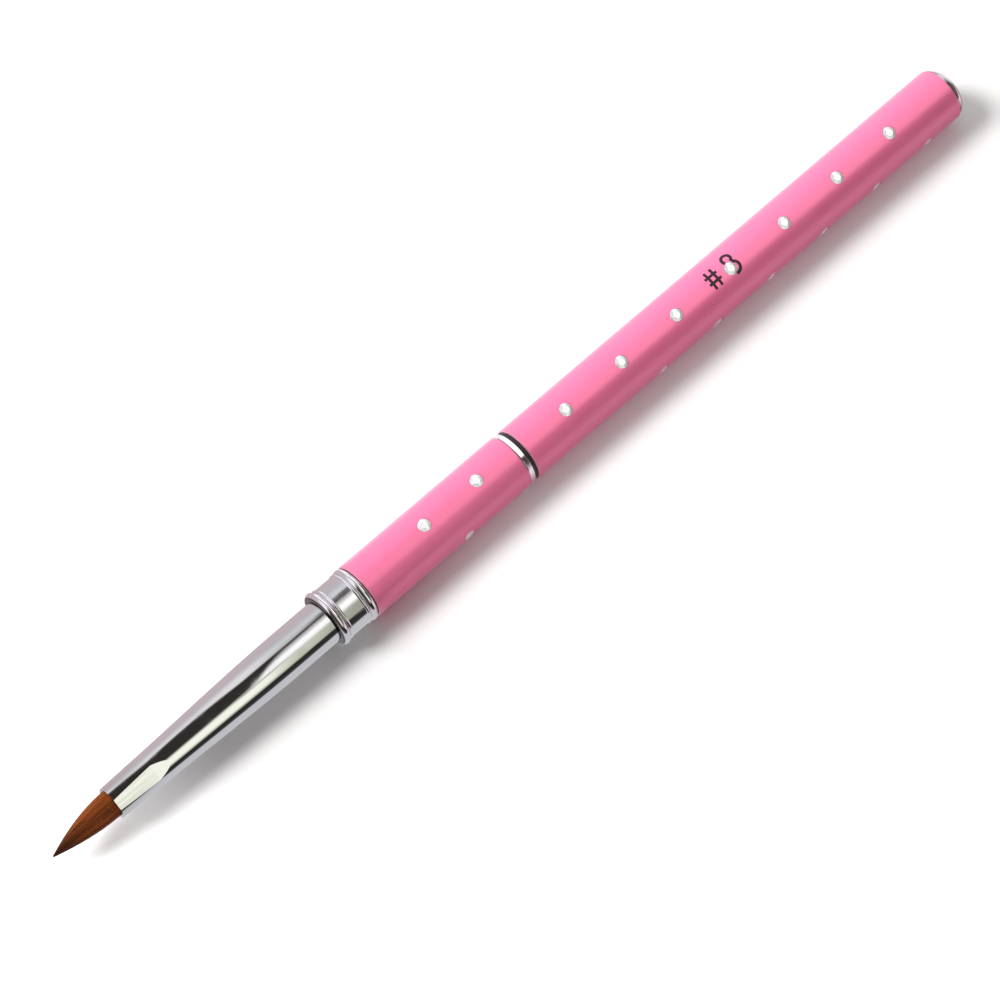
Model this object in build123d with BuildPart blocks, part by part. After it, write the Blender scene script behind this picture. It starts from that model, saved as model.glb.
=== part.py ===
from build123d import *
import os
from math import cos, pi, radians, sin, sqrt, tan

os.makedirs("parts", exist_ok=True)

# Acrylic nail brush in two halves that pull apart. The head is a hair tuft in a tapered
# ferrule, a collar and a short sleeve with a spigot behind it. The handle is a long tube
# that slips over the spigot, or, turned round, over the ferrule as a cap.
# Millimetres. The brush lies along X, tip at -X, and +Z is up. The origin is below the
# middle of its length, on the surface that it lies on. Stations count from the tip.

# Clearances
glue_gap = 0.02  # between pieces that are pressed or glued together
slip_gap = 0.05  # between the spigot and what slides or turns on it
hair_gap = 0.03  # between the hair or its glue and the ferrule wall

# Tubes that share one outside diameter
tube_d = 8.0
tube_wall = 0.5
tube_edge = 0.15  # rounding of the tube ends
liner_wall = 0.33
sleeve_length = 27.2
handle_length = 81.0

# Hair
tuft_length = 9.9  # hair that stands out of the ferrule
tip_width = 0.2
tuft_fullness = 0.95  # below 1 the tuft is fuller near its tip
tuft_sections = 7
tuft_corner = 0.25  # rounding of the tuft's flattened outline, as a share of its half width
root_depth = 14.0  # hair inside the ferrule
thread_d = 0.3
thread_turns = 5
thread_setback = 4.6  # from the end of the flats to the first turn
glue_length = 6.0

# Ferrule, pressed between flat jaws at its mouth
mouth_width = 4.65
mouth_height = 4.3
crimp_length = 6.3
crimp_turn = 38.0  # degrees that the flats lean from +Z towards -Y
crimp_slope = 9.0  # degrees that the jaws open behind the flats
taper_length = 23.8
taper_drop = 0.625  # radius lost along the taper
straight_length = 6.1
ferrule_wall = 0.4
ferrule_in_collar = 5.0
collar_step = 0.2  # radius that the ferrule steps down inside the collar

# Collar, with a bead and a fine lip at each end
collar_length = 6.0
bead_width = 1.15
bead_rise = 0.1  # front bead above the tubes
rear_bead_rise = 0.03
bead_foot = 0.15  # edges of a bead below the waist
waist_drop = 0.2  # waist below the tubes
lip_width = 0.5
lip_rise = 0.12

# Core of the head
stem_in_ferrule = 5.0  # stem ahead of the collar
stem_in_spigot = 5.0
stem_chamfer = 0.3
core_length = 13.8

# Joint between the halves
ring_width = 0.8
gasket_width = 0.6
gasket_drop = 0.16  # gasket below the tubes
joint_edge = 0.12
engagement = 12.0  # spigot inside the handle
spigot_chamfer = 0.4
liner_setback = 0.3

# Tail
bush_length = 8.0
bush_wall = 1.4
bush_setback = 0.3
plug_neck = 0.25
plug_neck_drop = 0.4
plug_drop = 0.2  # head of the plug below the tube
dome_height = 1.6

# Crystals, set in four rows round each tube
crystal_d = 1.8
crystal_sides = 8
table_d = 1.0
girdle_height = 0.1
seat_depth = 0.3
seat_gap = 0.05
sleeve_rows_turn = 5.5  # degrees that the top row leans from +Z towards -Y
sleeve_front_margin = 11.4
sleeve_rear_margin = 6.5
sleeve_crystals = 2
handle_rows_turn = 13.5
handle_front_margin = 7.8
handle_rear_margin = 6.4
handle_crystals = 7

# Radii that follow
tube_r = tube_d / 2
tube_bore_r = tube_r - tube_wall
plug_fit_r = tube_bore_r - glue_gap  # whatever is pressed into a tube
spigot_r = plug_fit_r - liner_wall - slip_gap
ferrule_r = spigot_r
ferrule_front_r = ferrule_r - taper_drop
ferrule_end_r = ferrule_r - collar_step
stem_r = ferrule_end_r - ferrule_wall - glue_gap
waist_r = tube_r - waist_drop
front_bead_r = tube_r + bead_rise
rear_bead_r = tube_r + rear_bead_rise
mouth_r = mouth_width / 2
root_r = ferrule_front_r - ferrule_wall - hair_gap
neck_r = root_r - thread_d
bush_bore_r = plug_fit_r - bush_wall
plug_stem_r = bush_bore_r - glue_gap

# Stations that follow
mouth_x = tuft_length
crimp_end = mouth_x + crimp_length
taper_end = crimp_end + taper_length
collar_x = taper_end + straight_length
ferrule_end = collar_x + ferrule_in_collar
sleeve_x = collar_x + collar_length
core_end = sleeve_x + core_length
ring_x = sleeve_x + sleeve_length
gasket_x = ring_x + ring_width
handle_x = gasket_x + gasket_width
spigot_end = handle_x + engagement
tail_x = handle_x + handle_length
overall_length = tail_x + plug_neck + dome_height
root_end = mouth_x + root_depth
thread_x = crimp_end + thread_setback
thread_end = thread_x + thread_turns * thread_d
stem_x = collar_x - stem_in_ferrule
stem_end = core_end + stem_in_spigot
plug_stem_x = tail_x - bush_setback - bush_length

tip_x = -overall_length / 2
axis_z = front_bead_r  # the front bead is what reaches the surface
brush_axis = Axis((tip_x, 0, axis_z), (1, 0, 0))
wide_way = Vector(0, cos(radians(crimp_turn)), sin(radians(crimp_turn)))
# A profile is drawn with its station as x and its radius as y, then revolved
profile_plane = Plane(origin=(tip_x, 0, axis_z), x_dir=(1, 0, 0), z_dir=(0, -1, 0))
# The jaws are drawn with the station as x, and y across the flats
jaw_plane = Plane(origin=(tip_x, 0, axis_z), x_dir=(1, 0, 0), z_dir=wide_way * -1)


def across(station):
    """Plane across the brush, facing its tail, with x along the wide way of the mouth."""
    return Plane(origin=(tip_x + station, 0, axis_z), x_dir=wide_way, z_dir=(1, 0, 0))


def tangent_plane(station, turn, radius):
    """Plane facing out from the axis, turned from +Z towards -Y, at a radius."""
    out = Vector(0, -sin(radians(turn)), cos(radians(turn)))
    return Plane(origin=Vector(tip_x + station, 0, axis_z) + out * radius, x_dir=(1, 0, 0), z_dir=out)


def round_body(inset):
    """Half profile of the ferrule before it is pressed, inset from its outside."""
    mouth_point = (mouth_x, mouth_r - inset)
    crimp_point = (crimp_end, ferrule_front_r - inset)
    taper_point = (taper_end, ferrule_r - inset)
    with BuildSketch(profile_plane) as outline:
        with BuildLine():
            Line(mouth_point, crimp_point)
            Spline(crimp_point, taper_point, tangents=[(crimp_length, ferrule_front_r - mouth_r), (1, 0)])
            Polyline(
                taper_point,
                (collar_x, ferrule_r - inset),
                (collar_x, ferrule_end_r - inset),
                (ferrule_end, ferrule_end_r - inset),
                (ferrule_end, 0),
                (mouth_x, 0),
                mouth_point,
            )
        make_face()
    return outline.sketch.face()


def jaw_gap(inset):
    """Side view of the room between the jaws, inset from the outside of the ferrule."""
    flat = mouth_height / 2 - inset
    opened = flat + (ferrule_end - crimp_end) * tan(radians(crimp_slope))
    with BuildSketch(jaw_plane) as outline:
        with BuildLine():
            Polyline(
                (mouth_x, flat),
                (crimp_end, flat),
                (ferrule_end, opened),
                (ferrule_end, -opened),
                (crimp_end, -flat),
                (mouth_x, -flat),
                (mouth_x, flat),
            )
        make_face()
    return outline.sketch.face()


def pressed_body(inset):
    """The round body of the ferrule with its flats pressed in, inset from its outside."""
    revolve(round_body(inset), axis=brush_axis)
    extrude(jaw_gap(inset), amount=tube_r, both=True, mode=Mode.INTERSECT)


# Hair tuft: a flattened point, then a root that fills the pressed mouth and is tied behind it
with BuildPart() as hair_tuft:
    root_inset = ferrule_wall + hair_gap
    pressed_body(root_inset)
    split(bisect_by=across(root_end), keep=Keep.BOTTOM)
    with BuildSketch(across(thread_x)):
        Circle(ferrule_r)
        Circle(neck_r, mode=Mode.SUBTRACT)
    extrude(amount=thread_end - thread_x, mode=Mode.SUBTRACT)
    half_tip = tip_width / 2
    for step in range(tuft_sections):
        along = step / (tuft_sections - 1)
        half_width = half_tip + (mouth_r - root_inset - half_tip) * sin(pi / 2 * along**tuft_fullness)
        flat_share = (mouth_height / 2 - root_inset) / (mouth_r - root_inset)
        with BuildSketch(across(along * tuft_length)) as section:
            Circle(half_width)
            Rectangle(2 * half_width, 2 * half_width * flat_share, mode=Mode.INTERSECT)
            fillet(section.vertices(), half_width * tuft_corner)
    loft()
hair_tuft.part.label = "hair_tuft"
export_step(hair_tuft.part, "parts/hair_tuft.step")

# Thread wound side by side round the root, drawn as joined rings
with BuildPart() as root_binding:
    with BuildSketch(profile_plane):
        with Locations(((thread_x + thread_end) / 2, neck_r + thread_d / 4)):
            Rectangle(thread_end - thread_x, thread_d / 2)
        for turn in range(thread_turns):
            with Locations((thread_x + thread_d * (turn + 0.5), neck_r + thread_d / 2)):
                Circle(thread_d / 2)
    revolve(axis=brush_axis)
root_binding.part.label = "root_binding"
export_step(root_binding.part, "parts/root_binding.step")

# Glue that fills the ferrule behind the hair
with BuildPart() as root_glue:
    revolve(round_body(ferrule_wall + hair_gap), axis=brush_axis)
    split(bisect_by=across(root_end), keep=Keep.TOP)
    split(bisect_by=across(root_end + glue_length), keep=Keep.BOTTOM)
root_glue.part.label = "root_glue"
export_step(root_glue.part, "parts/root_glue.step")

# Ferrule: a drawn tube, round and tapered behind, pressed flat on two sides at its mouth
with BuildPart() as ferrule:
    pressed_body(0)
    with BuildPart(mode=Mode.SUBTRACT):
        pressed_body(ferrule_wall)
ferrule.part.label = "ferrule"
export_step(ferrule.part, "parts/ferrule.step")

# Stem: the rod that joins the ferrule, collar, sleeve core and spigot
with BuildPart() as ferrule_stem:
    with BuildSketch(across(stem_x)):
        Circle(stem_r)
    extrude(amount=stem_end - stem_x)
    chamfer(ferrule_stem.edges(), stem_chamfer)
ferrule_stem.part.label = "ferrule_stem"
export_step(ferrule_stem.part, "parts/ferrule_stem.step")

# Collar: bored for the ferrule as far as a shoulder, and for the stem behind it
with BuildPart() as collar:
    with BuildSketch(profile_plane):
        bead_end = collar_x + bead_width
        lip_end = bead_end + lip_width
        rear_bead_x = sleeve_x - bead_width
        rear_lip_x = rear_bead_x - lip_width
        bead_foot_r = waist_r - bead_foot
        lip_r = waist_r + lip_rise
        with BuildLine():
            Polyline((sleeve_x, bead_foot_r), (sleeve_x, 0), (collar_x, 0), (collar_x, bead_foot_r))
            ThreePointArc(
                (collar_x, bead_foot_r), (collar_x + bead_width / 2, front_bead_r), (bead_end, bead_foot_r)
            )
            ThreePointArc((bead_end, bead_foot_r), (bead_end + lip_width / 2, lip_r), (lip_end, waist_r))
            Line((lip_end, waist_r), (rear_lip_x, waist_r))
            ThreePointArc(
                (rear_lip_x, waist_r), (rear_lip_x + lip_width / 2, lip_r), (rear_bead_x, bead_foot_r)
            )
            ThreePointArc(
                (rear_bead_x, bead_foot_r), (sleeve_x - bead_width / 2, rear_bead_r), (sleeve_x, bead_foot_r)
            )
        make_face()
    revolve(axis=brush_axis)
    with BuildSketch(across(collar_x)):
        Circle(ferrule_end_r + glue_gap)
    extrude(amount=ferrule_in_collar, mode=Mode.SUBTRACT)
    with BuildSketch(across(collar_x)):
        Circle(stem_r + glue_gap)
    extrude(amount=collar_length, mode=Mode.SUBTRACT)
collar.part.label = "collar"
export_step(collar.part, "parts/collar.step")


def crystal_seats(main_row, side_row, turn):
    """Name and floor plane of each crystal of a tube: two opposite rows, and two between."""
    seats = {}
    for quarter, (row, stations) in enumerate(zip("abcd", (main_row, side_row) * 2)):
        for number, station in enumerate(stations, start=1):
            seats[f"{row}{number}"] = tangent_plane(station, turn + 90 * quarter, tube_r - seat_depth)
    return seats


# Crystals of the sleeve: the side rows sit halfway between the others
sleeve_span = sleeve_length - sleeve_front_margin - sleeve_rear_margin
sleeve_pitch = sleeve_span / (sleeve_crystals - 1)
sleeve_main = [sleeve_x + sleeve_front_margin + sleeve_pitch * place for place in range(sleeve_crystals)]
sleeve_side = [station + sleeve_pitch / 2 for station in sleeve_main[:-1]]
sleeve_seats = crystal_seats(sleeve_main, sleeve_side, sleeve_rows_turn)

# Crystals of the handle: the side rows start and end nearer to the tail
handle_span = handle_length - handle_front_margin - handle_rear_margin
handle_pitch = handle_span / (handle_crystals - 0.5)
handle_main = [handle_x + handle_front_margin + handle_pitch * place for place in range(handle_crystals)]
handle_side = [station + handle_pitch / 2 for station in handle_main[1:]]
handle_seats = crystal_seats(handle_main, handle_side, handle_rows_turn)

# Sleeve: the short tube between the collar and the joint
with BuildPart() as front_sleeve:
    with BuildSketch(across(sleeve_x)):
        Circle(tube_r)
        Circle(tube_bore_r, mode=Mode.SUBTRACT)
    extrude(amount=sleeve_length)
    fillet(front_sleeve.edges().filter_by(GeomType.CIRCLE).group_by(SortBy.RADIUS)[-1], tube_edge)
    with BuildSketch(*sleeve_seats.values()):
        Circle(crystal_d / 2 + seat_gap)
    extrude(amount=2 * seat_depth, mode=Mode.SUBTRACT)
front_sleeve.part.label = "front_sleeve"
export_step(front_sleeve.part, "parts/front_sleeve.step")

# Plastic core that centres the stem in the sleeve
with BuildPart() as sleeve_core:
    with BuildSketch(across(sleeve_x)):
        Circle(plug_fit_r)
        Circle(stem_r + glue_gap, mode=Mode.SUBTRACT)
    extrude(amount=core_length)
sleeve_core.part.label = "sleeve_core"
export_step(sleeve_core.part, "parts/sleeve_core.step")

# Spigot: pressed into the sleeve, with the stem in its front and the handle over its rear
with BuildPart() as joint_spigot:
    with BuildSketch(across(core_end)):
        Circle(plug_fit_r)
    extrude(amount=ring_x - core_end)
    with BuildSketch(across(ring_x)):
        Circle(spigot_r)
    extrude(amount=spigot_end - ring_x)
    chamfer(joint_spigot.faces().sort_by(Axis.X)[-1].edges(), spigot_chamfer)
    with BuildSketch(across(core_end)):
        Circle(stem_r + glue_gap)
    extrude(amount=stem_in_spigot, mode=Mode.SUBTRACT)
joint_spigot.part.label = "joint_spigot"
export_step(joint_spigot.part, "parts/joint_spigot.step")

# Bright ring against the end of the sleeve
with BuildPart() as joint_ring:
    with BuildSketch(across(ring_x)):
        Circle(tube_r)
        Circle(spigot_r + glue_gap, mode=Mode.SUBTRACT)
    extrude(amount=ring_width)
    fillet(joint_ring.edges().filter_by(GeomType.CIRCLE).group_by(SortBy.RADIUS)[-1], joint_edge)
joint_ring.part.label = "joint_ring"
export_step(joint_ring.part, "parts/joint_ring.step")

# Gasket, free to turn on the spigot between the ring and the handle
with BuildPart() as joint_gasket:
    with BuildSketch(across(gasket_x)):
        Circle(tube_r - gasket_drop)
        Circle(spigot_r + slip_gap, mode=Mode.SUBTRACT)
    extrude(amount=gasket_width)
    fillet(joint_gasket.edges().filter_by(GeomType.CIRCLE).group_by(SortBy.RADIUS)[-1], joint_edge)
joint_gasket.part.label = "joint_gasket"
export_step(joint_gasket.part, "parts/joint_gasket.step")

# Handle tube, which is also the cap
with BuildPart() as handle_tube:
    with BuildSketch(across(handle_x)):
        Circle(tube_r)
        Circle(tube_bore_r, mode=Mode.SUBTRACT)
    extrude(amount=handle_length)
    fillet(handle_tube.edges().filter_by(GeomType.CIRCLE).group_by(SortBy.RADIUS)[-1], tube_edge)
    with BuildSketch(*handle_seats.values()):
        Circle(crystal_d / 2 + seat_gap)
    extrude(amount=2 * seat_depth, mode=Mode.SUBTRACT)
handle_tube.part.label = "handle_tube"
export_step(handle_tube.part, "parts/handle_tube.step")

# Liner that grips the spigot, or the ferrule when the handle is the cap
with BuildPart() as mouth_liner:
    with BuildSketch(across(handle_x + liner_setback)):
        Circle(plug_fit_r)
        Circle(spigot_r + slip_gap, mode=Mode.SUBTRACT)
    extrude(amount=engagement - liner_setback)
mouth_liner.part.label = "mouth_liner"
export_step(mouth_liner.part, "parts/mouth_liner.step")

# Bush that holds the end plug in the tail of the tube
with BuildPart() as tail_bush:
    with BuildSketch(across(tail_x - bush_setback)):
        Circle(plug_fit_r)
        Circle(bush_bore_r, mode=Mode.SUBTRACT)
    extrude(amount=-bush_length)
tail_bush.part.label = "tail_bush"
export_step(tail_bush.part, "parts/tail_bush.step")

# End plug: a stem in the bush, a neck that bears on the tube and a domed head
with BuildPart() as end_plug:
    with BuildSketch(profile_plane):
        head_x = tail_x + plug_neck
        head_r = tube_r - plug_drop
        neck_end_r = tube_r - plug_neck_drop
        with BuildLine():
            EllipticalCenterArc((head_x, 0), dome_height, head_r, start_angle=0, arc_size=90)
            Polyline(
                (head_x, head_r),
                (head_x, neck_end_r),
                (tail_x, neck_end_r),
                (tail_x, plug_stem_r),
                (plug_stem_x, plug_stem_r),
                (plug_stem_x, 0),
                (overall_length, 0),
            )
        make_face()
    revolve(axis=brush_axis)
end_plug.part.label = "end_plug"
export_step(end_plug.part, "parts/end_plug.step")


def cut_crystal(name, seat):
    """One crystal: a flat back on the floor of its seat, and its table flush with the tube."""
    table_height = sqrt(tube_r**2 - (table_d / 2) ** 2) - (tube_r - seat_depth)
    with BuildPart() as crystal:
        with BuildSketch(seat):
            RegularPolygon(crystal_d / 2, crystal_sides)
        extrude(amount=girdle_height)
        with BuildSketch(seat.offset(girdle_height)):
            RegularPolygon(crystal_d / 2, crystal_sides)
        with BuildSketch(seat.offset(table_height)):
            RegularPolygon(table_d / 2, crystal_sides)
        loft()
    crystal.part.label = name
    export_step(crystal.part, f"parts/{name}.step")


for place, seat in sleeve_seats.items():
    cut_crystal(f"sleeve_crystal_{place}", seat)
for place, seat in handle_seats.items():
    cut_crystal(f"handle_crystal_{place}", seat)
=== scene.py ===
from math import atan2, cos, pi, radians, sin, tau

import bmesh
import bpy
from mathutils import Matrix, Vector


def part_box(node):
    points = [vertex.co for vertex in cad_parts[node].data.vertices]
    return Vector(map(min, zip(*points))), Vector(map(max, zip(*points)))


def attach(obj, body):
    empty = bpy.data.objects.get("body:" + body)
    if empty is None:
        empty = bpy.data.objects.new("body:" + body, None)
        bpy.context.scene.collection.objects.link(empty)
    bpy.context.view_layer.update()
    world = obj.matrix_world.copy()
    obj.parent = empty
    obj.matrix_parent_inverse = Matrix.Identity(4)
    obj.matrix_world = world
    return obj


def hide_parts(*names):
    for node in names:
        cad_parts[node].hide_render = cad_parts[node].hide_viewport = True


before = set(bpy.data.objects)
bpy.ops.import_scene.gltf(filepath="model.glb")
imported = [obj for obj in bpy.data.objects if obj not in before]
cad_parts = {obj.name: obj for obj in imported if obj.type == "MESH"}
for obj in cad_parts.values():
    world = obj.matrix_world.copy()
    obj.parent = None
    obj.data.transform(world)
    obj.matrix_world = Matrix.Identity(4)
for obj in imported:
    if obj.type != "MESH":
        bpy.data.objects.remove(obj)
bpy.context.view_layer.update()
scene = bpy.context.scene
mm = 0.001  # the frame is in metres

# Landmarks of the brush: it lies along X with its hair at the low end
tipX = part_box("hair_tuft")[0].x
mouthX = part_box("ferrule")[0].x
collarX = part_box("collar")[0].x
sleeveLow, sleeveHigh = (corner.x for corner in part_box("front_sleeve"))
tubeLow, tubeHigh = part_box("handle_tube")
tubeRadius = (tubeHigh.z - tubeLow.z) / 2
axisY = (tubeHigh.y + tubeLow.y) / 2
axisZ = (tubeHigh.z + tubeLow.z) / 2
print("frame read:", len(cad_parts), "nodes")


def tint(red, green, blue):
    # a screen colour, 0 to 255, as the linear colour that the shaders take
    parts = [part / 255 for part in (red, green, blue)]
    return tuple(p / 12.92 if p <= 0.04045 else ((p + 0.055) / 1.055) ** 2.4 for p in parts) + (1.0,)


def openSocket(sockets, name):
    # by number, or the one in use of that name
    if isinstance(name, int):
        return sockets[name]
    return next(socket for socket in sockets if socket.enabled and socket.name == name)


class Wire:
    # one output socket, so that node maths reads as an expression
    def __init__(self, sheet, socket):
        self.sheet = sheet
        self.socket = socket

    def out(self, name):
        return Wire(self.sheet, openSocket(self.socket.node.outputs, name))

    def __add__(self, other):
        return self.sheet.maths("ADD", self, other)

    def __sub__(self, other):
        return self.sheet.maths("SUBTRACT", self, other)

    def __rsub__(self, other):
        return self.sheet.maths("SUBTRACT", other, self)

    def __mul__(self, other):
        return self.sheet.maths("MULTIPLY", self, other)

    def __truediv__(self, other):
        return self.sheet.maths("DIVIDE", self, other)

    def __rtruediv__(self, other):
        return self.sheet.maths("DIVIDE", other, self)

    def __pow__(self, other):
        return self.sheet.maths("POWER", self, other)

    __radd__ = __add__
    __rmul__ = __mul__


class NodeSheet:
    # adds nodes to one tree
    def __init__(self, tree):
        self.tree = tree

    def add(self, kind, settings=None, inputs=None):
        node = self.tree.nodes.new(kind)
        for name, value in (settings or {}).items():
            if name == "stops":
                layStops(node.color_ramp, value)
            else:
                setattr(node, name, value)
        for name, value in (inputs or {}).items():
            socket = openSocket(node.inputs, name)
            for each in value if isinstance(value, list) else [value]:
                if isinstance(each, Wire):
                    self.tree.links.new(each.socket, socket)
                else:
                    socket.default_value = each
        outputs = [socket for socket in node.outputs if socket.enabled]
        return Wire(self, outputs[0]) if outputs else None

    def maths(self, operation, *values):
        return self.add("ShaderNodeMath", {"operation": operation}, dict(enumerate(values)))

    def ramp(self, value, low, high):
        # 0 below low, 1 above high, smooth between
        inputs = {"Value": value, "From Min": low, "From Max": high}
        return self.add("ShaderNodeMapRange", {"interpolation_type": "SMOOTHSTEP"}, inputs)

    def blend(self, share, first, second):
        inputs = {"Factor": share, "A": first, "B": second}
        return self.add("ShaderNodeMix", {"data_type": "RGBA"}, inputs)

    def bump(self, height, strength, distance, normal=None):
        inputs = {"Height": height, "Strength": strength, "Distance": distance}
        return self.add("ShaderNodeBump", {}, inputs if normal is None else inputs | {"Normal": normal})

    def noise(self, place, scale, detail=2.0, stretch=(1, 1, 1)):
        spot = self.add("ShaderNodeMapping", {}, {"Vector": place, "Scale": stretch})
        return self.add("ShaderNodeTexNoise", {}, {"Vector": spot, "Scale": scale, "Detail": detail})


def layStops(colourRamp, stops):
    while len(colourRamp.elements) > 1:
        colourRamp.elements.remove(colourRamp.elements[-1])
    for place, (position, colour) in enumerate(stops):
        element = colourRamp.elements[0] if place == 0 else colourRamp.elements.new(position)
        element.position = position
        element.color = colour


def makeFinish(name, build):
    material = bpy.data.materials.new(name)
    material.use_nodes = True
    material.node_tree.nodes.clear()
    sheet = NodeSheet(material.node_tree)
    surface = build(sheet, sheet.add("ShaderNodeTexCoord").out("Object"))
    sheet.add("ShaderNodeOutputMaterial", {}, {"Surface": surface})
    return material


def clamped(sheet, value, low, high):
    return sheet.maths("MINIMUM", sheet.maths("MAXIMUM", value, low), high)


# Round metal: its shading normals follow the turned outline, so that long reflections run straight

outline = {
    "taperFrom": mouthX + 6.3 * mm,
    "taperLength": 23.8 * mm,
    "frontRadius": 2.475 * mm,  # where the taper begins
    "rearRadius": 3.1 * mm,
    "frontSlope": 0.15 / 6.3,
    "slack": 0.02 * mm,  # how far a mesh may lie inside its outline
}


def ferruleOutline(sheet, along, given):
    # the ferrule's radius and slope: a cone, then a smooth swelling up to the straight rear
    share = clamped(sheet, (along - given["taperFrom"]) / given["taperLength"], 0.0, 1.0)
    swell = given["rearRadius"] - given["frontRadius"]
    steep = given["frontSlope"]
    slope = steep * (3 * share * share - 4 * share + 1)
    slope = slope + swell / given["taperLength"] * 6 * share * (1 - share)
    radius = steep * given["taperLength"] * share * (1 - share) * (1 - share) + given["frontRadius"]
    radius = radius + swell * share * share * (3 - 2 * share)
    return radius - steep * sheet.maths("MAXIMUM", given["taperFrom"] - along, 0.0), slope


def roundNormal(sheet, place):
    # square to the axis on the outer skin, and the mesh's own normal on flats, walls and ends
    meshNormal = sheet.add("ShaderNodeTexCoord").out("Normal")
    facing = sheet.add("ShaderNodeSeparateXYZ", {}, {0: meshNormal})
    along = sheet.add("ShaderNodeSeparateXYZ", {}, {0: place})
    side, up = along.out("Y") - axisY, along.out("Z") - axisZ
    radius = sheet.maths("SQRT", side * side + up * up)
    side, up = side / radius, up / radius
    outward = sheet.ramp(side * facing.out("Y") + up * facing.out("Z"), 0.2, 0.4)
    skin, slope = ferruleOutline(sheet, along, outline)
    inner, outer = -2 * outline["slack"], -1 * outline["slack"]
    onFerrule = 1 - sheet.ramp(along, collarX - 0.2 * mm, collarX - 0.1 * mm)
    onTube = sheet.ramp(along, sleeveLow - 0.1 * mm, sleeveLow)
    pressedIn = onFerrule * (1 - sheet.ramp(radius - skin, inner, outer))
    sunk = onTube * (1 - sheet.ramp(radius - tubeRadius, inner, outer))
    lengthways = facing + onFerrule * (0 - slope - facing)
    square = sheet.maths("SQRT", sheet.maths("MAXIMUM", 1 - lengthways * lengthways, 0.0))
    exact = sheet.add("ShaderNodeCombineXYZ", {}, {0: lengthways, 1: side * square, 2: up * square})
    normal = sheet.blend(outward * (1 - pressedIn) * (1 - sunk), meshNormal, exact)
    turned = {"vector_type": "NORMAL", "convert_from": "OBJECT", "convert_to": "WORLD"}
    return sheet.add("ShaderNodeVectorTransform", turned, {"Vector": normal})


# Finishes


lacquer = {
    "light": tint(252, 133, 175),
    "deep": tint(249, 119, 163),
    "bare": tint(214, 190, 196),
    "grainSize": 0.2 * mm,
    "cloudSize": 6 * mm,
    "wornEdge": 0.22 * mm,
    "rubSize": 0.5 * mm,
    "metallic": 0.28,
    "rough": 0.3,
    "relief": 0.002 * mm,
}


def pinkLacquer(sheet, place):
    grain = sheet.noise(place, 1 / lacquer["grainSize"])
    clouds = sheet.noise(place, 1 / lacquer["cloudSize"])
    share = grain * 0.2 + clouds * 0.55
    colour = sheet.blend(share, lacquer["deep"], lacquer["light"])
    # the lacquer is rubbed thin where a tube ends
    along = sheet.add("ShaderNodeSeparateXYZ", {}, {0: place})
    rubbed = sheet.noise(place, 1 / lacquer["rubSize"], 3.0)
    worn = 0.0
    for end in (sleeveLow, sleeveHigh, tubeLow.x, tubeHigh.x):
        nearness = 1 - sheet.maths("ABSOLUTE", along - end) / lacquer["wornEdge"]
        worn = sheet.maths("MAXIMUM", nearness, worn)
    worn = sheet.ramp(worn + 0.7 * (rubbed - 0.5), 0.45, 0.7)
    colour = sheet.blend(worn * 0.6, colour, lacquer["bare"])
    rough = lacquer["rough"] + (grain - 0.5) * 0.05 + (clouds - 0.5) * 0.08
    return sheet.add(
        "ShaderNodeBsdfPrincipled",
        {},
        {
            "Base Color": colour,
            "Metallic": lacquer["metallic"] + 0.4 * worn,
            "Roughness": rough,
            "Normal": sheet.bump(grain, 0.1, lacquer["relief"], roundNormal(sheet, place)),
            "Specular IOR Level": 0.4,
            "Coat Weight": 0.5,
            "Coat Roughness": 0.2,
            "Coat IOR": 1.5,
        },
    )


chrome = {
    "colour": tint(234, 232, 235),
    "streak": tint(186, 190, 180),
    # a darker colour laid along the seams of the collar
    "seamDark": tint(84, 78, 80),
    "drawn": 0.35 * mm,  # width of the fine lines left by drawing the tube
    "smudgeSize": 3 * mm,
    "dentSize": 1.8 * mm,
    "seamWidth": 0.16 * mm,
    "relief": 0.016 * mm,
}


def brightChrome(sheet, place):
    lines = sheet.noise(place, 1 / chrome["drawn"], 3.0, (0.03, 1, 1))
    smudges = sheet.noise(place, 1 / chrome["smudgeSize"], 4.0)
    rough = 0.03 + 0.05 * sheet.ramp(smudges, 0.45, 0.75) + 0.03 * lines
    dents = sheet.noise(place, 1 / chrome["dentSize"], 0.0, (0.3, 1, 1))
    along = sheet.add("ShaderNodeSeparateXYZ", {}, {0: place})
    pressed = 1 - sheet.ramp(along, mouthX + 3 * mm, mouthX + 8 * mm)
    height = 0.5 * dents * pressed + lines * (0.004 + 0.03 * pressed)
    bump = sheet.bump(height, 0.22, chrome["relief"], roundNormal(sheet, place))
    # darker in the two seams of the collar, where it meets the ferrule and the sleeve
    seam = 0.0
    for edge in (collarX, sleeveLow):
        nearness = 1 - sheet.maths("ABSOLUTE", along - edge) / chrome["seamWidth"]
        seam = sheet.maths("MAXIMUM", nearness, seam)
    streaks = pressed * sheet.ramp(lines, 0.35, 0.7)
    colour = sheet.blend(streaks * 0.5, chrome["colour"], chrome["streak"])
    colour = sheet.blend(sheet.ramp(seam, 0.1, 0.7), colour, chrome["seamDark"])
    return sheet.add(
        "ShaderNodeBsdfPrincipled",
        {},
        {"Base Color": colour, "Metallic": 1.0, "Roughness": rough, "Normal": bump},
    )


def plainFinish(colour, other, size, rough, metallic=0.0, stretch=(1, 1, 1), relief=0.01 * mm):
    # two close colours in a fine grain, with a relief of the same grain
    def build(sheet, place):
        grain = sheet.noise(place, 1 / size, 3.0, stretch)
        return sheet.add(
            "ShaderNodeBsdfPrincipled",
            {},
            {
                "Base Color": sheet.blend(grain, colour, other),
                "Metallic": metallic,
                "Roughness": rough + (grain - 0.5) * 0.2,
                "Normal": sheet.bump(grain, 0.4, relief),
            },
        )

    return build


hairColours = {
    "dark": tint(86, 38, 12),
    "light": tint(178, 92, 30),
    "tip": tint(72, 34, 14),
    "streakSize": 0.25 * mm,
}


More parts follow.
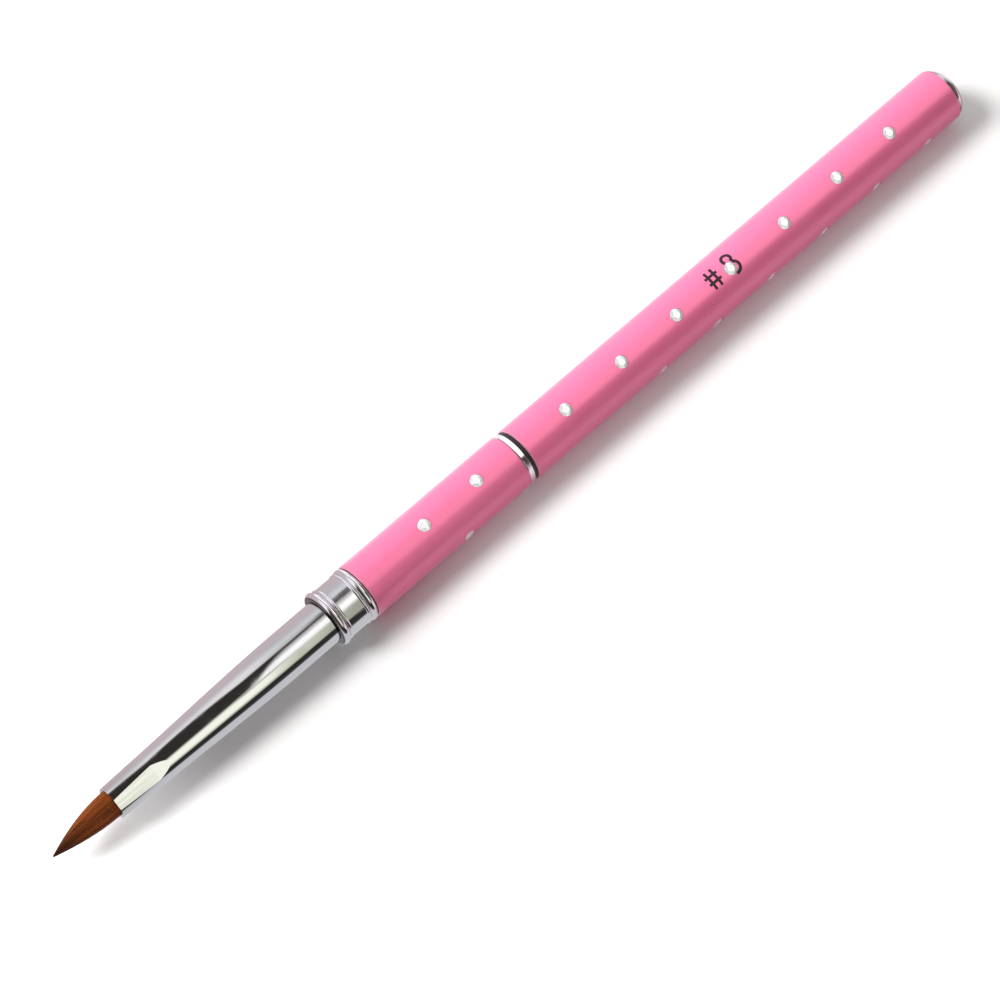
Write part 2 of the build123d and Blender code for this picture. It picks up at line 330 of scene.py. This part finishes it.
def brownHair(sheet, place):
    tone = sheet.add("ShaderNodeAttribute", {"attribute_name": "tone"}).out("Fac")
    along = sheet.add("ShaderNodeAttribute", {"attribute_name": "along"}).out("Fac")
    streaks = sheet.noise(place, 1 / hairColours["streakSize"], 2.0, (0.06, 1, 1))
    body = sheet.blend(tone * 0.7 + streaks * 0.3, hairColours["dark"], hairColours["light"])
    colour = sheet.blend(sheet.ramp(along, 0.45, 1.0), body, hairColours["tip"])
    return sheet.add(
        "ShaderNodeBsdfPrincipled",
        {},
        {"Base Color": colour, "Roughness": 0.36 + 0.2 * tone, "Specular IOR Level": 0.35},
    )


finishes = {
    "pink_lacquer": makeFinish("pinkLacquer", pinkLacquer),
    "chrome": makeFinish("brightChrome", brightChrome),
    "hair": makeFinish("brownHair", brownHair),
    "black_rubber": makeFinish(
        "blackRubber",
        plainFinish(tint(24, 19, 20), tint(34, 27, 27), 0.12 * mm, 0.42),
    ),
    "crystal": makeFinish(
        "cutCrystal",
        plainFinish(tint(240, 245, 246), tint(253, 254, 254), 0.6 * mm, 0.25, 0.55, relief=0.0005 * mm),
    ),
    "spigot_metal": makeFinish(
        "turnedMetal",
        plainFinish(tint(172, 172, 174), tint(205, 205, 206), 0.09 * mm, 0.32, 1.0, (1, 0.05, 0.05)),
    ),
    "stem_metal": makeFinish(
        "drawnMetal",
        plainFinish(tint(150, 150, 152), tint(180, 180, 182), 0.2 * mm, 0.4, 1.0, (0.05, 1, 1)),
    ),
    "liner_plastic": makeFinish(
        "linerPlastic",
        plainFinish(tint(226, 226, 222), tint(238, 238, 235), 0.5 * mm, 0.4),
    ),
    "core_plastic": makeFinish(
        "corePlastic",
        plainFinish(tint(52, 50, 52), tint(64, 62, 64), 0.4 * mm, 0.45),
    ),
    "thread": makeFinish(
        "tyingThread",
        plainFinish(tint(214, 200, 176), tint(236, 226, 206), 0.1 * mm, 0.7, relief=0.03 * mm),
    ),
    "glue": makeFinish(
        "clearGlue",
        plainFinish(tint(188, 140, 66), tint(206, 164, 92), 1 * mm, 0.2),
    ),
}
ink = makeFinish(
    "blackInk",
    plainFinish(tint(32, 18, 24), tint(52, 30, 38), 0.15 * mm, 0.5, relief=0.002 * mm),
)

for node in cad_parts.values():
    for place in node.material_slots:
        place.material = finishes[place.material.name]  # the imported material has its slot's name
print("finishes made:", len(finishes))


# Hair tuft: fine hairs over a dark core, combed to one flattened point

tuft = {
    "hairs": 1500,
    "hairRadius": 0.042 * mm,
    "hairStations": 10,
    "rootWidth": 3.79 * mm,
    "flatShare": 0.9,  # height of the flats, as a share of the width
    "tipWidth": 0.2 * mm,
    "fullness": 0.95,
    "tipBeside": -0.28 * mm,  # the point hangs a little to one side
    "tipBelow": -0.12 * mm,
    "tipBack": 0.01 * mm,
    "lean": radians(38),  # of the flats
    "tuckedIn": 0.08,  # share of its length that a hair runs on into the mouth
    "shallowest": 0.985,  # depth of the outer hairs, as a share of the outline
    "deepest": 0.8,
    "shortest": 0.5,  # where the shortest hairs end, as a share of the way to the mouth
    "sway": 0.16,  # how far a hair strays round the tuft, in radians
    "thinned": 0.85,  # share of its radius that a hair loses by its end
    "seed": 7,
}


def onTuft(sheet, given, station, depth, wide, high):
    # the point at a station, 0 at the tip and 1 at the mouth, and at a share of the depth
    swell = sheet.maths("SINE", (clamped(sheet, station, 0.0, 1.0) ** given["fullness"]) * (pi / 2))
    halfTip = given["tipWidth"] / 2
    half = (halfTip + (given["rootWidth"] / 2 - halfTip) * swell) * depth
    across = half * wide
    up = half * clamped(sheet, high, 0 - given["flatShare"], given["flatShare"])
    turned, upright = sheet.maths("SINE", given["lean"]), sheet.maths("COSINE", given["lean"])
    hang = (1 - clamped(sheet, station, 0.0, 1.0)) ** 1.7
    return sheet.add(
        "ShaderNodeCombineXYZ",
        {},
        {
            "X": station * (mouthX - tipX) + given["tipBack"] + tipX,
            "Y": upright * across - turned * up + hang * given["tipBeside"] + axisY,
            "Z": turned * across + upright * up + hang * given["tipBelow"] + axisZ,
        },
    )


def tuftTree(sheet, given, seats):
    def drawn(low, high, offset):
        return sheet.add(
            "FunctionNodeRandomValue",
            {"data_type": "FLOAT"},
            {"Min": low, "Max": high, "Seed": given["seed"] + offset},
        )

    def stored(shape, name, value, domain="POINT"):
        settings = {"data_type": "FLOAT", "domain": domain}
        inputs = {"Geometry": shape, "Name": name, "Value": value}
        return sheet.add("GeometryNodeStoreNamedAttribute", settings, inputs)

    def kept(name):
        return sheet.add("GeometryNodeInputNamedAttribute", {"data_type": "FLOAT"}, {"Name": name})

    roots = sheet.add("GeometryNodePoints", {}, {"Count": given["hairs"]})
    roots = stored(roots, "turn", drawn(0.0, tau, 1))
    depth = given["deepest"] + (given["shallowest"] - given["deepest"]) * drawn(0.0, 1.0, 2) ** 0.6
    roots = stored(roots, "depth", depth)
    roots = stored(roots, "end", given["shortest"] * drawn(0.0, 1.0, 3) ** 2.2)
    roots = stored(roots, "tone", drawn(0.0, 1.0, 4))
    roots = stored(roots, "sway", given["sway"] * drawn(-1.0, 1.0, 5))
    line = sheet.add("GeometryNodeCurvePrimitiveLine", {}, {"End": (0.0, 0.0, 1.0)})
    line = sheet.add("GeometryNodeResampleCurve", {}, {"Curve": line, "Count": given["hairStations"]})
    hairs = sheet.add("GeometryNodeInstanceOnPoints", {}, {"Points": roots, "Instance": line})
    hairs = sheet.add("GeometryNodeRealizeInstances", {}, {"Geometry": hairs})
    along = sheet.add("GeometryNodeSplineParameter")
    hairs = stored(hairs, "along", along)
    # each hair runs from inside the mouth to its own end
    root = 1 + given["tuckedIn"]
    station = root + (kept("end") - root) * along
    turn = kept("turn") + kept("sway") * along
    wide, high = sheet.maths("COSINE", turn), sheet.maths("SINE", turn)
    spot = onTuft(sheet, given, station, kept("depth"), wide, high)
    hairs = sheet.add("GeometryNodeSetPosition", {}, {"Geometry": hairs, "Position": spot})
    section = {"Resolution": 3, "Radius": given["hairRadius"]}
    section = sheet.add("GeometryNodeCurvePrimitiveCircle", {}, section)
    taper = 1 - given["thinned"] * kept("along") ** 2.5
    hairs = sheet.add(
        "GeometryNodeCurveToMesh",
        {},
        {"Curve": hairs, "Profile Curve": section, "Scale": taper, "Fill Caps": True},
    )
    # the core is a cylinder drawn into the same point
    drum = sheet.add(
        "GeometryNodeMeshCylinder",
        {"fill_type": "TRIANGLE_FAN"},
        {"Vertices": 36, "Side Segments": 24, "Radius": 1.0, "Depth": 1.0},
    )
    spot = sheet.add("ShaderNodeSeparateXYZ", {}, {0: sheet.add("GeometryNodeInputPosition")})
    station = (spot.out("Z") + 0.5) * (1 + 0.5 * given["tuckedIn"])
    core = onTuft(sheet, given, station, given["deepest"], spot, spot.out("Y"))
    drum = stored(drum, "along", 1 - station)
    drum = stored(drum, "tone", 0.25)
    drum = sheet.add("GeometryNodeSetPosition", {}, {"Geometry": drum, "Position": core})
    both = sheet.add("GeometryNodeJoinGeometry", {}, {"Geometry": [hairs, drum]})
    return sheet.add("GeometryNodeSetShadeSmooth", {}, {"Geometry": both})


def grow(name, given, tree, material, seats=None):
    # runs a geometry tree, on a mesh of seats if there is one, and keeps the plain mesh it makes
    group = bpy.data.node_groups.new(name, "GeometryNodeTree")
    sheet = NodeSheet(group)
    kinds = {int: "Int", float: "Float", bpy.types.Object: "Object", bpy.types.Material: "Material"}
    values = given | {"material": material}
    names = {}
    group.interface.new_socket("seats", in_out="INPUT", socket_type="NodeSocketGeometry")
    for key, value in values.items():
        kind = "NodeSocket" + kinds[type(value)]
        names[key] = group.interface.new_socket(key, in_out="INPUT", socket_type=kind).identifier
    group.interface.new_socket("Geometry", in_out="OUTPUT", socket_type="NodeSocketGeometry")
    entry = sheet.add("NodeGroupInput")
    shape = tree(sheet, {key: entry.out(key) for key in given}, entry.out("seats"))
    shape = sheet.add("GeometryNodeRealizeInstances", {}, {"Geometry": shape})
    inputs = {"Geometry": shape, "Material": entry.out("material")}
    shape = sheet.add("GeometryNodeSetMaterial", {}, inputs)
    sheet.add("NodeGroupOutput", {}, {"Geometry": shape})
    piece = bpy.data.objects.new(name, seats or bpy.data.meshes.new(name))
    scene.collection.objects.link(piece)
    modifier = piece.modifiers.new(name, "NODES")
    modifier.node_group = group
    for key, value in values.items():
        modifier[names[key]] = value
    evaluated = piece.evaluated_get(bpy.context.evaluated_depsgraph_get())
    made = bpy.data.meshes.new_from_object(evaluated)
    piece.modifiers.clear()
    piece.data = made
    print(name, "grown:", len(made.polygons), "faces")
    return piece


tuftHairs = grow("tuftHairs", tuft, tuftTree, finishes["hair"])
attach(tuftHairs, "brush_head")
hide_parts("hair_tuft")


# Crystals: flat behind, cut in front, one cut shape set in every drilled seat

stone = {
    "girdle": 0.925 * mm,
    "middle": 0.7 * mm,
    "table": 0.5 * mm,
    "shoulder": 0.19 * mm,  # heights over the floor of the seat
    "star": 0.275 * mm,
    "top": 0.33 * mm,
    "seatDepth": 0.3 * mm,
}


def cutStone(given):
    # a table, 8 star, 8 kite and 16 girdle facets, a band and a flat back
    def ring(count, radius, height, start=0.0):
        turns = [tau * (step + start) / count for step in range(count)]
        return [shape.verts.new((radius * cos(turn), radius * sin(turn), height)) for turn in turns]

    shape = bmesh.new()
    table = ring(8, given["table"], given["top"])
    star = ring(8, given["middle"], given["star"], 0.5)
    girdle = ring(16, given["girdle"], given["shoulder"])
    back = ring(16, given["girdle"], 0.0)
    faces = [table, back[::-1]]
    for place in range(8):
        after, rim = (place + 1) % 8, 2 * place
        faces.append((table[place], star[place], table[after]))
        faces.append((star[place - 1], girdle[rim], star[place], table[place]))
        faces.append((star[place], girdle[rim], girdle[rim + 1]))
        faces.append((star[place], girdle[rim + 1], girdle[(rim + 2) % 16]))
    for place in range(16):
        after = (place + 1) % 16
        faces.append((girdle[place], back[place], back[after], girdle[after]))
    for face in faces:
        shape.faces.new(face)
    bmesh.ops.recalc_face_normals(shape, faces=shape.faces)
    mesh = bpy.data.meshes.new("cutStone")
    shape.to_mesh(mesh)
    shape.free()
    return mesh


def stoneTree(sheet, given, seats):
    # each stone stands square to its tube, at a turn of its own
    def turnedRound(axis, angle):
        angles = sheet.add("ShaderNodeCombineXYZ", {}, {axis: angle})
        return sheet.add("FunctionNodeEulerToRotation", {}, {0: angles})

    turn = sheet.add("GeometryNodeInputNamedAttribute", {"data_type": "FLOAT"}, {"Name": "turn"})
    cut = sheet.add("GeometryNodeObjectInfo", {}, {"Object": given["cut"]}).out("Geometry")
    inputs = {"Points": seats, "Instance": cut, "Rotation": turnedRound("X", turn)}
    stones = sheet.add("GeometryNodeInstanceOnPoints", {}, inputs)
    inputs = {"Min": 0.0, "Max": tau / 8, "Seed": given["seed"]}
    spin = sheet.add("FunctionNodeRandomValue", {"data_type": "FLOAT"}, inputs)
    inputs = {"Instances": stones, "Rotation": turnedRound("Z", spin)}
    return sheet.add("GeometryNodeRotateInstances", {}, inputs)


def seatOf(crystal):
    # where a crystal stands along its tube, and how far it is turned round the axis
    low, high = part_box(crystal)
    middle = (low + high) / 2
    return middle.x, atan2(axisY - middle.y, middle.z - axisZ)


def setStones(name, crystals, given, seed):
    seats = bpy.data.meshes.new(name)
    placed = [seatOf(crystal) for crystal in crystals]
    floor = tubeRadius - given["seatDepth"]
    spots = [(x, axisY - floor * sin(turn), axisZ + floor * cos(turn)) for x, turn in placed]
    seats.from_pydata(spots, [], [])
    turns = seats.attributes.new("turn", "FLOAT", "POINT")
    turns.data.foreach_set("value", [turn for x, turn in placed])
    cut = bpy.data.objects.new("cutStone", cutStone(given))
    scene.collection.objects.link(cut)
    piece = grow(name, {"cut": cut, "seed": seed}, stoneTree, finishes["crystal"], seats)
    bpy.data.objects.remove(cut)
    return piece


for tube, body, seed in (("sleeve", "brush_head", 3), ("handle", "handle", 5)):
    crystals = sorted(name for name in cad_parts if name.startswith(tube + "_crystal"))
    stones = setStones(tube + "Stones", crystals, stone, seed)
    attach(stones, body)
    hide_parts(*crystals)


# Printed size number: a number sign and a figure, each stroke a thin skin of ink on the tube

sizeMark = {
    "stone": "handle_crystal_a4",  # it interrupts the lower ring of the figure
    "stoneClear": 1.01 * mm,
    "stroke": 0.44 * mm,
    "signStroke": 0.4 * mm,
    "rise": 0.012 * mm,
    "lowerRing": (0.45 * mm, -0.15 * mm, 0.9 * mm),  # along, up, radius
    "upperRing": (0.45 * mm, 1.42 * mm, 0.67 * mm),
    "signPlace": (-2.88 * mm, 0.5 * mm),
    "signHeight": 2.9 * mm,
    "signWidth": 2.15 * mm,
    "signGap": 1.0 * mm,
    "signSlant": 0.05,
}


def markStrokes(given):
    # centre lines on the unrolled tube, along the brush and up the figure, with their widths
    strokes, count = [], 48
    for middle, centre, radius in (given["lowerRing"], given["upperRing"]):
        turns = [tau * step / count for step in range(count)]
        ring = [(middle + radius * cos(turn), centre + radius * sin(turn)) for turn in turns]
        hidden = [Vector(point).length < given["stoneClear"] for point in ring]
        if any(hidden):
            # an open ring starts just past the stone
            first = next(place for place in range(count) if hidden[place - 1] and not hidden[place])
            order = [(first + step) % count for step in range(count)]
            ring = [ring[place] for place in order if not hidden[place]]
        strokes.append((ring, not any(hidden), given["stroke"]))
    alongSign, upSign = given["signPlace"]
    for side in (-0.5, 0.5):
        off = side * given["signGap"]
        for upright in (True, False):
            half = (given["signHeight"] if upright else given["signWidth"]) / 2
            points = []
            for step in range(9):
                reach = half * (step / 4 - 1)
                along, up = (off + given["signSlant"] * reach, reach) if upright else (reach, off)
                points.append((alongSign + along, upSign + up))
            strokes.append((points, False, given["signStroke"]))
    return strokes


def printMark(name, given, material):
    # sweeps a flat section along every line, half in the lacquer and half above it
    stoneX, stoneTurn = seatOf(given["stone"])

    def wrapped(along, up, radius):
        turn = stoneTurn - up / tubeRadius
        return stoneX + along, axisY - radius * sin(turn), axisZ + radius * cos(turn)

    shape = bmesh.new()
    for line, closed, width in markStrokes(given):
        count, sections = len(line), []
        for place, (along, up) in enumerate(line):
            before = line[place - 1] if closed or place else line[0]
            after = line[(place + 1) % count] if closed or place + 1 < count else line[-1]
            side = Vector((before[1] - after[1], after[0] - before[0])).normalized() * width / 2
            corners = []
            for lift, sign in ((1, 1), (1, -1), (-1, -1), (-1, 1)):
                radius = tubeRadius + lift * given["rise"]
                spot = wrapped(along + sign * side.x, up + sign * side.y, radius)
                corners.append(shape.verts.new(spot))
            sections.append(corners)
        for place in range(count if closed else count - 1):
            here, ahead = sections[place], sections[(place + 1) % count]
            for corner in range(4):
                other = (corner + 1) % 4
                shape.faces.new((here[corner], here[other], ahead[other], ahead[corner]))
        if not closed:
            shape.faces.new(sections[0][::-1])
            shape.faces.new(sections[-1])
    bmesh.ops.recalc_face_normals(shape, faces=shape.faces)
    mesh = bpy.data.meshes.new(name)
    shape.to_mesh(mesh)
    shape.free()
    mesh.materials.append(material)
    piece = bpy.data.objects.new(name, mesh)
    scene.collection.objects.link(piece)
    return piece


sizeNumber = printMark("sizeNumber", sizeMark, ink)
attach(sizeNumber, "handle")
print("size number printed")


# Camera

view = {
    "azimuth": radians(-44.08),
    "elevation": radians(62.57),
    "distance": 489 * mm,
    "lens": 135,
    "aimFromTip": 74.8 * mm,
    "aimBeside": -2.69 * mm,
    "aimAbove": -1.0 * mm,
}


def directionTo(azimuth, elevation):
    level = cos(elevation)
    return Vector((sin(azimuth) * level, -cos(azimuth) * level, sin(elevation)))


def placeCamera(given):
    camera = bpy.data.objects.new("camera", bpy.data.cameras.new("camera"))
    scene.collection.objects.link(camera)
    camera.data.lens = given["lens"]
    back = directionTo(given["azimuth"], given["elevation"])
    aim = Vector((tipX + given["aimFromTip"], axisY + given["aimBeside"], axisZ + given["aimAbove"]))
    camera.location = aim + back * given["distance"]
    camera.rotation_euler = (-back).to_track_quat("-Z", "Y").to_euler()
    camera.data.clip_start, camera.data.clip_end = 0.01, 20
    scene.camera = camera


placeCamera(view)


# Floor and light

studio = {
    "floorRadius": 4.0,
    "floorColour": 0.94,
    "headGlow": 0.34,  # both lighten the shadow, only as seen straight
    "tubeGlow": 0.1,
    "keyAzimuth": radians(-127.0),
    "keyElevation": radians(45.5),
    "keyDistance": 1.5,
    "keySize": 0.64,
    "keyPower": 24.5,
    "fill": 0.5,
}

# Painted reflection: what bright metal shows of the floor, painted by the distance in front of the
# brush, with a painted shadow beside the tubes and a painted dark stripe ahead of the head
mirroredFloor = {
    "byHead": [
        (-60 * mm, tint(206, 194, 199)),
        (-6 * mm, tint(204, 190, 194)),
        (3 * mm, tint(205, 206, 209)),
        (13 * mm, tint(206, 209, 213)),
        (18 * mm, tint(62, 60, 60)),  # painted reflection: a dark stripe, as of a dark room past the edge of a pale sheet
        (60 * mm, tint(44, 42, 42)),
    ],
    "byTubes": [
        (-8 * mm, (1.15, 1.06, 1.15, 1)),
        # painted shadow: darker and pinker where the brush shades the floor beside the tubes
        (1 * mm, tint(186, 156, 166)),
        (4 * mm, tint(160, 122, 134)),
        (6 * mm, tint(178, 142, 154)),
        (11 * mm, tint(222, 198, 207)),
        (17 * mm, tint(246, 230, 236)),
        (60 * mm, tint(246, 230, 236)),
    ],
}

# What bright metal shows of the room: lists by the angle round the brush, in degrees from straight
# up, and single patches, all written over each other in the order of paintRoom
room = {
    "bands": [
        (-180, tint(206, 190, 194)),
        (-80, tint(204, 192, 197)),
        (-58, tint(200, 196, 202)),
        (-38, tint(216, 222, 222)),
        (-24, tint(206, 207, 206)),
        (6, tint(214, 214, 212)),
        (18, (1.2, 1.2, 1.19, 1)),
        (32, (1.15, 1.16, 1.12, 1)),
        (44, tint(216, 223, 208)),
        (60, tint(212, 219, 198)),
        (77, tint(206, 209, 188)),
        (84, tint(50, 48, 47)),
        (94, tint(44, 42, 42)),
        (180, tint(60, 58, 58)),
    ],
    "ceiling": [
        (-120, (1.25, 1.2, 1.35, 1)),
        (-60, (1.45, 1.4, 1.65, 1)),
        (-15, (1.6, 1.5, 1.8, 1)),
        (10, (1.95, 1.7, 1.55, 1)),
        (40, (1.9, 1.65, 1.5, 1)),
    ],
    "wall": [
        (40, tint(78, 66, 70)),
        (66, tint(96, 80, 86)),
        (82, tint(190, 170, 178)),
        (95, tint(240, 225, 230)),
    ],
    "rear": [
        (-90, tint(190, 170, 178)),
        (-45, (1.0, 0.97, 0.97, 1)),
        (-22, tint(200, 196, 198)),
        (5, tint(104, 102, 96)),
        (94, tint(104, 102, 96)),
        (120, tint(70, 66, 68)),
    ],
    "window": (1.1, 1.13, 0.98, 1),
    "dawn": (0.88, 0.88, 0.87, 1),
    "hood": tint(52, 48, 46),
    "rail": tint(90, 100, 88),
    "dusk": tint(72, 70, 68),
    "glint": (1.05, 1.02, 1.05, 1),
    "beam": tint(76, 74, 74),
}


def colourAlong(sheet, value, stops):
    # a colour for each of several values, smooth between them
    low, high = stops[0][0], stops[-1][0]
    stops = [((mark - low) / (high - low), colour) for mark, colour in stops]
    return sheet.add("ShaderNodeValToRGB", {"stops": stops}, {"Fac": (value - low) / (high - low)})


def between(sheet, value, rise, fall):
    # 1 between two soft edges and 0 past them
    return sheet.ramp(value, *rise) * (1 - sheet.ramp(value, *fall))


def shinyRay(sheet, path):
    return sheet.maths("MAXIMUM", path.out("Is Glossy Ray"), path.out("Is Transmission Ray"))


def floorFinish(sheet, place):
    colour = (studio["floorColour"],) * 3 + (1.0,)
    matt = sheet.add("ShaderNodeBsdfDiffuse", {}, {"Color": colour})
    along = sheet.add("ShaderNodeSeparateXYZ", {}, {0: place})
    # painted light: an emission, seen only by the camera, that lightens the floor and its shadow by the
    # head and beside the tubes
    glow = studio["headGlow"] * (1 - sheet.ramp(along, mouthX - 2 * mm, mouthX + 18 * mm))
    glow = glow + studio["tubeGlow"] * sheet.ramp(along, collarX, sleeveHigh)
    glow = sheet.add("ShaderNodeEmission", {}, {"Strength": glow})
    lit = sheet.add("ShaderNodeAddShader", {}, {0: matt, 1: glow})
    # painted reflection: shiny rays see the floor as an emission painted by its distance in front of
    # the brush, with painted shadow, not as it is lit
    ahead = axisY - along.out("Y")
    slanted = along - 0.3 * sheet.maths("ABSOLUTE", ahead)
    mirrored = sheet.blend(
        sheet.ramp(slanted, sleeveLow - 1 * mm, sleeveLow + 1 * mm),
        colourAlong(sheet, ahead, mirroredFloor["byHead"]),
        colourAlong(sheet, ahead, mirroredFloor["byTubes"]),
    )
    mirrored = sheet.add("ShaderNodeEmission", {}, {"Color": mirrored})
    path = sheet.add("ShaderNodeLightPath")
    shown = sheet.add("ShaderNodeMixShader", {}, {0: path.out("Is Camera Ray"), 1: matt, 2: lit})
    return sheet.add("ShaderNodeMixShader", {}, {0: shinyRay(sheet, path), 1: shown, 2: mirrored})


def layFloor(given):
    count, radius = 96, given["floorRadius"]
    turns = [tau * step / count for step in range(count)]
    mesh = bpy.data.meshes.new("floor")
    mesh.from_pydata([(radius * cos(t), radius * sin(t), 0) for t in turns], [], [tuple(range(count))])
    mesh.materials.append(makeFinish("paleFloor", floorFinish))
    floor = bpy.data.objects.new("floor", mesh)
    scene.collection.objects.link(floor)


def paintRoom(sheet, way, given):
    # way is a direction: its X is the lean towards the tail
    around = sheet.maths("ARCTAN2", 0 - way.out("Y"), way.out("Z")) * (180 / pi)
    front = 1 - sheet.ramp(way, -0.3, -0.1)
    shown = colourAlong(sheet, around, given["bands"])

    window = (1 - sheet.ramp(way, 0.2, 0.25)) * between(sheet, around, (25, 42), (66, 78))
    shown = sheet.blend(window, shown, given["window"])
    dawn = (1 - sheet.ramp(way, 0.19, 0.25)) * between(sheet, around, (-75, -35), (-24, -10))
    shown = sheet.blend(dawn, shown, given["dawn"])

    # a dark hood overhead, its sides closing towards the tail
    lean = clamped(sheet, way, 0.183, 0.4)
    low = -17 + 40 * (lean - 0.183) - 34 * (1 - sheet.ramp(way, 0.13, 0.195))
    closing = 1 - sheet.ramp(way, 0.183, 0.257)
    high = 38 * closing * closing - 2
    hood = between(sheet, around, (low - 7, low + 5), (high - 9, high + 9))
    shown = sheet.blend(hood * sheet.ramp(way, -0.1, 0.1), shown, given["hood"])
    rail = 0.5 * between(sheet, way, (0.17, 0.185), (0.225, 0.25))
    rail = rail * between(sheet, around, (33, 38), (40, 46))
    shown = sheet.blend(rail, shown, given["rail"])

    dusk = front * between(sheet, around, (-14, 6), (74, 96))
    shown = sheet.blend(dusk, shown, given["dusk"])
    glint = front * between(sheet, around, (-65, -45), (-20, -8))
    shown = sheet.blend(glint, shown, given["glint"])

    # a bright ceiling, a dark beam and a dark wall past the collar
    past = between(sheet, way, (0.28, 0.29), (0.5, 0.66))
    over = past * between(sheet, around, (-115, -95), (16, 38))
    shown = sheet.blend(over, shown, colourAlong(sheet, around, given["ceiling"]))
    upper = between(sheet, around, (-30, -22), (-14, -8))
    lower = between(sheet, around, (34, 52), (74, 84))
    beam = between(sheet, way, (0.26, 0.27), (0.286, 0.296)) * (0.85 * upper + 0.4 * lower)
    shown = sheet.blend(beam, shown, given["beam"])
    wall = past * between(sheet, around, (28, 42), (95, 110))
    shown = sheet.blend(wall, shown, colourAlong(sheet, around, given["wall"]))
    return sheet.blend(sheet.ramp(way, 0.5, 0.6), shown, colourAlong(sheet, around, given["rear"]))


def lightStudio(given):
    world = bpy.data.worlds.new("studio")
    scene.world = world
    world.use_nodes = True
    world.node_tree.nodes.clear()
    sheet = NodeSheet(world.node_tree)
    way = sheet.add("ShaderNodeSeparateXYZ", {}, {0: sheet.add("ShaderNodeTexCoord")})
    # shiny surfaces see the room, matt ones feel a soft fill, and the camera sees plain white
    seen = {"Color": paintRoom(sheet, way, room), "Strength": 1.0}
    seen = sheet.add("ShaderNodeBackground", {}, seen)
    soft = sheet.maths("MAXIMUM", 0.42 + 0.6 * way.out("Z") + 0.75 * way.out("Y"), 0.06)
    felt = {"Color": tint(255, 251, 248), "Strength": given["fill"] * soft}
    felt = sheet.add("ShaderNodeBackground", {}, felt)
    white = sheet.add("ShaderNodeBackground", {}, {"Color": (1, 1, 1, 1), "Strength": 1.0})
    path = sheet.add("ShaderNodeLightPath")
    shown = sheet.add("ShaderNodeMixShader", {}, {0: shinyRay(sheet, path), 1: felt, 2: seen})
    shown = sheet.add("ShaderNodeMixShader", {}, {0: path.out("Is Camera Ray"), 1: shown, 2: white})
    sheet.add("ShaderNodeOutputWorld", {}, {"Surface": shown})
    key = bpy.data.objects.new("softbox", bpy.data.lights.new("softbox", "AREA"))
    scene.collection.objects.link(key)
    key.data.shape = "SQUARE"
    key.data.size = given["keySize"]
    key.data.energy = given["keyPower"]
    back = directionTo(given["keyAzimuth"], given["keyElevation"])
    key.location = back * given["keyDistance"]
    key.rotation_euler = (-back).to_track_quat("-Z", "Y").to_euler()
    key.visible_camera = key.visible_glossy = False  # bright metal shows the room instead


layFloor(studio)
lightStudio(studio)
scene.view_settings.view_transform = "Standard"
print("camera, floor and light placed")
